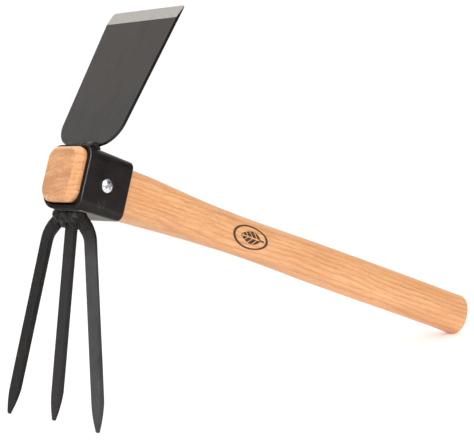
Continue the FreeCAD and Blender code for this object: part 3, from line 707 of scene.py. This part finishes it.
def weld_metal(name, place, drops, nodes, cut_height, fade, replaced, material):
    """Lumpy metal fused from drops (x, y, z, radius) and the ends of the bars that it joins.

    Within fade millimetres of cut_height its skin sinks into the bars, so that no step shows.
    """
    origin, along, up = drawing_frame(*place)
    lumps = bmesh.new()
    for node in nodes:
        lumps.from_mesh(frame["nodes"][node].data)
    bmesh.ops.remove_doubles(lumps, verts=lumps.verts, dist=0.001 * MM)
    everything = lumps.verts[:] + lumps.edges[:] + lumps.faces[:]
    away = up if cut_height > 0 else -up
    bmesh.ops.bisect_plane(lumps, geom=everything, plane_co=origin + up * (cut_height * MM),
                           plane_no=away, clear_outer=True)
    bmesh.ops.holes_fill(lumps, edges=lumps.edges)
    for x, y, z, radius in drops:
        spot = origin + (along * x + ACROSS * y + up * z) * MM
        bmesh.ops.create_icosphere(lumps, subdivisions=3, radius=radius * MM,
                                   matrix=Matrix.Translation(spot))
    mesh = fused(name, lumps)
    for vertex in mesh.vertices:
        coarse, fine = (noise.noise(vertex.co / size) for size in RIPPLE_SIZE)
        from_cut = abs(cut_height * MM - (vertex.co - origin).dot(up))
        share = min(1.0, from_cut / (fade * MM))
        swell = WELD_SWELL + WELD_RIPPLE * (coarse + FINE_RIPPLE * fine)
        vertex.co += vertex.normal * (share * swell - (1.0 - share) * WELD_SINK)
    for polygon in mesh.polygons:
        polygon.use_smooth = True
    mesh.materials.clear()
    mesh.materials.append(material)
    piece = bpy.data.objects.new(name, mesh)
    bpy.context.scene.collection.objects.link(piece)
    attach(piece, "root")
    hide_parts(*replaced)


def runs_of_drops(seed, beads):
    """Overlapping drops along Y, as weld beads are laid, in millimetres."""
    draw = random.Random(seed)
    drops = []
    for x, z, reach, radius, pitch, wobble in beads:
        count = int(2 * reach / pitch) + 1
        for index in range(count):
            y = -reach + 2 * reach * index / (count - 1)
            swell = radius * (1.0 if index % 2 else SMALL_DROP) + draw.uniform(-wobble, wobble)
            drops.append((x, y, z + draw.uniform(-wobble, wobble), swell))
    return drops


def fork_weld(material):
    """Metal round the joint of the bars and the collar, and in the crotches between the bars."""
    drops = runs_of_drops(FORK_SEED, FORK_BEADS)
    low_x, low_radius = CROTCH_LOW
    high_x, high_share, high_z, high_radius = CROTCH_HIGH
    for y, z in CROTCHES_MM:
        drops.append((low_x, y, z, low_radius))
        drops.append((high_x, y * high_share, high_z, high_radius))
    weld_metal("fork_weld", FORK_PLACE, drops, TINES, FORK_CUT_MM, FORK_FADE_MM,
               ("fork_weld_front", "fork_weld_rear", "tine_web_weld_left", "tine_web_weld_right"),
               material)


def blade_weld(material):
    """Beads along the front and the back of the blade's root."""
    weld_metal("blade_weld", BLADE_PLACE, runs_of_drops(BLADE_SEED, BLADE_BEADS), ("hoe_blade",),
               BLADE_CUT_MM, BLADE_FADE_MM, ("blade_weld_front", "blade_weld_rear"), material)


# Dress the frame --------------------------------------------------------------------------

WELD_BLACK = (0.0046, 0.0028, 0.0020)
WELD_ROUGHNESS = 0.30
WELD_GLOSS = 0.20
# Painted highlights: on the near end of the fork's bead, and along the blade's.
WELD_HIGHLIGHTS = ((-9.5, -9.6, -21.2, 3.6), (-16.5, 4.0, 20.8, 5.0), (-14.5, -9.5, 20.8, 4.5))
TINE_ROUGHNESS = 0.40
# Each bar's paint, greyer from left to right, and its gloss.
TINES = {
    "left_tine": ((0.0030, 0.0020, 0.0016), 0.24),
    "center_tine": ((0.0095, 0.0078, 0.0078), 0.32),
    "right_tine": ((0.0360, 0.0335, 0.0350), 0.34),
}
weld_paint = black_paint("weld_paint", WELD_BLACK, WELD_ROUGHNESS, WELD_GLOSS, highlights=WELD_HIGHLIGHTS)

paint_node("handle", ash_wood())
paint_node("eye_collar", collar_paint())
paint_node("hoe_blade", blade_metal())
for tine, (base, gloss) in TINES.items():
    paint_node(tine, black_paint(tine + "_paint", base, TINE_ROUGHNESS, gloss, WELD_BLACK))
paint_node("retaining_screw", zinc_plate())
fork_weld(weld_paint)
blade_weld(weld_paint)


# Studio -----------------------------------------------------------------------------------

FLOOR_RADIUS = 0.9
FLOOR_GREY = ((0.90, 0.90, 0.90), (0.92, 0.92, 0.92))
FLOOR_CLOUD = 0.003
FLOOR_ROUGHNESS = 0.9
FLOOR_GLOW = 0.22
BACKDROP_STRENGTH = 1.05
# The side that a black card shades: from and to cosines of the angle to it, and the light at each.
SHADE_FROM = Vector((0.70, -0.71, -0.05)).normalized()
ROOM_LIGHT = (0.15, 0.85, 1.10, 0.12)
# From and to heights of the direction, and the share of light at each.
ROOM_HORIZON = (0.0, 0.55, 0.70, 1.06)

# Camera: a long lens a little above the grip, looking at the head from its near front corner.
CAMERA_DISTANCE = 0.8874
CAMERA_AZIMUTH = math.radians(-44.53)
CAMERA_ELEVATION = math.radians(4.21)
CAMERA_ROLL = math.radians(2.05)
CAMERA_LENS_MM = 103.8
AIM = Vector((-0.0407, 0.0002, 0.1052))
LAMP_OFFSET = Vector((-0.25, -1.3, 0.8))
LAMP_SIZE = 1.2
LAMP_POWER = 12.0


def add_floor():
    """Round pale floor that glows a little, so that it meets the white surroundings unseen."""
    g = Graph("studio_floor")
    tint = g.noise(g.place((0.0, 0.0, 0.0)), FLOOR_CLOUD)
    material = g.finish(Base_Color=g.mix(tint, *FLOOR_GREY), Roughness=FLOOR_ROUGHNESS,
                        Emission_Color=(*WHITE, 1.0), Emission_Strength=FLOOR_GLOW)
    disc = bmesh.new()
    bmesh.ops.create_circle(disc, cap_ends=True, segments=128, radius=FLOOR_RADIUS)
    mesh = bpy.data.meshes.new("studio_floor")
    disc.to_mesh(mesh)
    disc.free()
    mesh.materials.append(material)
    floor = bpy.data.objects.new("studio_floor", mesh)
    bpy.context.scene.collection.objects.link(floor)


def add_softbox():
    """Square lamp that faces the middle of the tool."""
    lamp = bpy.data.lights.new("key", "AREA")
    lamp.shape = "SQUARE"
    lamp.size = LAMP_SIZE
    lamp.energy = LAMP_POWER
    lamp_object = bpy.data.objects.new("key", lamp)
    lamp_object.location = AIM + LAMP_OFFSET
    lamp_object.rotation_euler = (-LAMP_OFFSET).to_track_quat("-Z", "Y").to_euler()
    bpy.context.scene.collection.objects.link(lamp_object)


def add_world():
    """White room, darker towards one side and the horizon; the backdrop itself stays white."""
    world = bpy.data.worlds.new("studio")
    world.use_nodes = True
    nodes = world.node_tree.nodes
    link = world.node_tree.links.new

    def mapped(value, settings, interpolation):
        """Map a direction's measure by (from low, from high, to low, to high)."""
        node = nodes.new("ShaderNodeMapRange")
        node.interpolation_type = interpolation
        for index, setting in enumerate(settings):
            node.inputs[index + 1].default_value = setting
        link(value, node.inputs[0])
        return node.outputs[0]

    direction = nodes.new("ShaderNodeTexCoord").outputs["Generated"]
    toward = nodes.new("ShaderNodeVectorMath")
    toward.operation = "DOT_PRODUCT"
    toward.inputs[1].default_value = SHADE_FROM
    link(direction, toward.inputs[0])
    height = nodes.new("ShaderNodeSeparateXYZ")
    link(direction, height.inputs[0])
    strength = nodes.new("ShaderNodeMath")
    strength.operation = "MULTIPLY"
    link(mapped(toward.outputs["Value"], ROOM_LIGHT, "SMOOTHSTEP"), strength.inputs[0])
    link(mapped(height.outputs["Z"], ROOM_HORIZON, "LINEAR"), strength.inputs[1])

    room = nodes["Background"]
    room.inputs["Color"].default_value = (*WHITE, 1.0)
    link(strength.outputs[0], room.inputs["Strength"])
    backdrop = nodes.new("ShaderNodeBackground")
    backdrop.inputs["Color"].default_value = (*WHITE, 1.0)
    backdrop.inputs["Strength"].default_value = BACKDROP_STRENGTH
    choice = nodes.new("ShaderNodeMixShader")
    link(nodes.new("ShaderNodeLightPath").outputs["Is Camera Ray"], choice.inputs[0])
    link(room.outputs[0], choice.inputs[1])
    link(backdrop.outputs[0], choice.inputs[2])
    link(choice.outputs[0], nodes["World Output"].inputs["Surface"])
    bpy.context.scene.world = world


def add_camera():
    level = math.cos(CAMERA_ELEVATION)
    back = Vector((math.sin(CAMERA_AZIMUTH) * level, -math.cos(CAMERA_AZIMUTH) * level,
                   math.sin(CAMERA_ELEVATION)))
    data = bpy.data.cameras.new("camera")
    data.lens = CAMERA_LENS_MM
    data.clip_end = 100.0
    camera = bpy.data.objects.new("camera", data)
    camera.location = AIM + back * CAMERA_DISTANCE
    look = (-back).to_track_quat("-Z", "Y").to_matrix()
    camera.rotation_euler = (look @ Matrix.Rotation(-CAMERA_ROLL, 3, "Z")).to_euler()
    bpy.context.scene.collection.objects.link(camera)
    bpy.context.scene.camera = camera


add_floor()
add_world()
add_softbox()
add_camera()
bpy.context.scene.view_settings.view_transform = "Standard"
